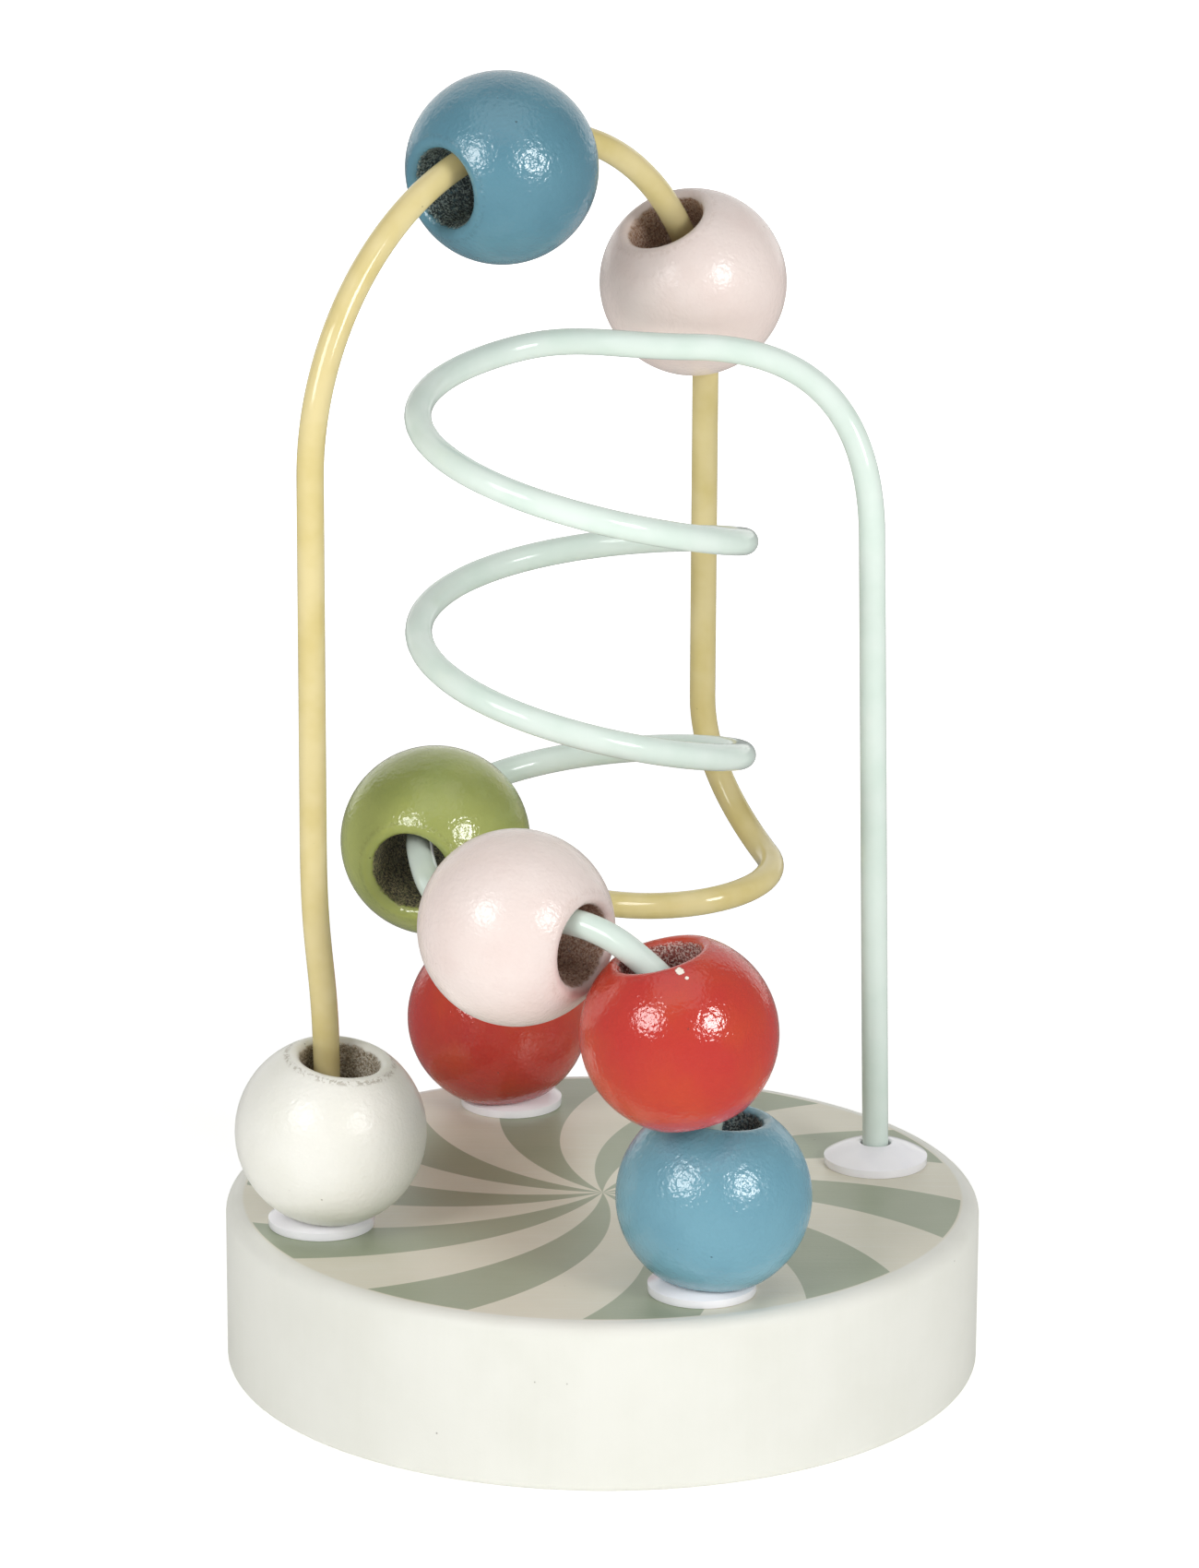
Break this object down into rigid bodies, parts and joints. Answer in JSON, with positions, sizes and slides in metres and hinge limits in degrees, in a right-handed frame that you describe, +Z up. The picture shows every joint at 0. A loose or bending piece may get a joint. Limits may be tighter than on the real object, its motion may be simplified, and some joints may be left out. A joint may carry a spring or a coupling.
{
  "type": "bead maze",
  "caption": "Tabletop bead maze with painted wooden beads that slide along a coiled wire and an arched wire, standing in collars on a round wooden base.",
  "frame": {"origin": "middle of the base's underside, on the surface it stands on", "axes": "+Z up along the base's axis, -Y towards the front foot's side, +X to the right seen from the front"},
  "size_m": [0.12, 0.1266, 0.2049],
  "materials": {
    "base": "satin off-white lacquer, printed top",
    "collar": "gloss cool white",
    "mint_coat": "gloss pale mint plastic coat",
    "yellow_coat": "gloss mustard plastic coat",
    "cream_paint": "satin cream paint",
    "blue_paint": "gloss dusty blue paint",
    "pink_paint": "gloss pale pink paint",
    "red_paint": "gloss warm red paint",
    "green_paint": "gloss olive green paint"
  },
  "bodies": {
    "stand": {"base": "base", "collar_right": "collar", "collar_back": "collar", "collar_left": "collar", "collar_front": "collar", "mint_wire": "mint_coat", "yellow_wire": "yellow_coat"},
    "cream_bead": {"cream_bead": "cream_paint"},
    "upper_blue_bead": {"upper_blue_bead": "blue_paint"},
    "upper_pink_bead": {"upper_pink_bead": "pink_paint"},
    "back_red_bead": {"back_red_bead": "red_paint"},
    "lower_blue_bead": {"lower_blue_bead": "blue_paint"},
    "front_red_bead": {"front_red_bead": "red_paint"},
    "lower_pink_bead": {"lower_pink_bead": "pink_paint"},
    "green_bead": {"green_bead": "green_paint"}
  },
  "joints": [
    {"name": "cream_slide", "type": "slide", "parent": "stand", "child": "cream_bead", "axis": [-0.05, 0.03, 0.9983], "range_m": [0, 0.016]},
    {"name": "upper_blue_travel", "type": "hinge", "parent": "stand", "child": "upper_blue_bead", "pos_m": [-0.01198, 0.01737, 0.14821], "axis": [0.6149, -0.7542, 0.2302], "range_deg": [-12, 40]},
    {"name": "upper_pink_travel", "type": "hinge", "parent": "stand", "child": "upper_pink_bead", "pos_m": [-0.01885, 0.01058, 0.15065], "axis": [0.6712, -0.7412, -0.0067], "range_deg": [-14, 12]},
    {"name": "back_red_travel", "type": "hinge", "parent": "stand", "child": "back_red_bead", "pos_m": [-0.00853, 0.0195, 0.04134], "axis": [0.9597, 0.246, -0.1361], "range_deg": [0, 50]},
    {"name": "lower_blue_travel", "type": "hinge", "parent": "stand", "child": "lower_blue_bead", "pos_m": [0.02813, -0.07829, 0.04151], "axis": [0.9325, 0.3528, 0.0778], "range_deg": [0, 15.6]},
    {"name": "front_red_travel", "type": "hinge", "parent": "stand", "child": "front_red_bead", "pos_m": [0.00202, -0.04, 0.06772], "axis": [-0.5896, -0.7635, -0.2634], "range_deg": [0, 47]},
    {"name": "lower_pink_travel", "type": "hinge", "parent": "stand", "child": "lower_pink_bead", "pos_m": [0.01068, -0.01376, 0.08968], "axis": [0.046, 0.1237, -0.9913], "range_deg": [0, 21.4]},
    {"name": "green_travel", "type": "hinge", "parent": "stand", "child": "green_bead", "pos_m": [-0.0032, -0.00055, 0.08619], "axis": [0.1169, 0.1532, -0.9813], "range_deg": [0, 30]}
  ],
  "couplings": [
    {"joint": "front_red_travel", "follows": "lower_blue_travel", "ratio": 3.013},
    {"joint": "lower_pink_travel", "follows": "lower_blue_travel", "ratio": 1.372}
  ]
}
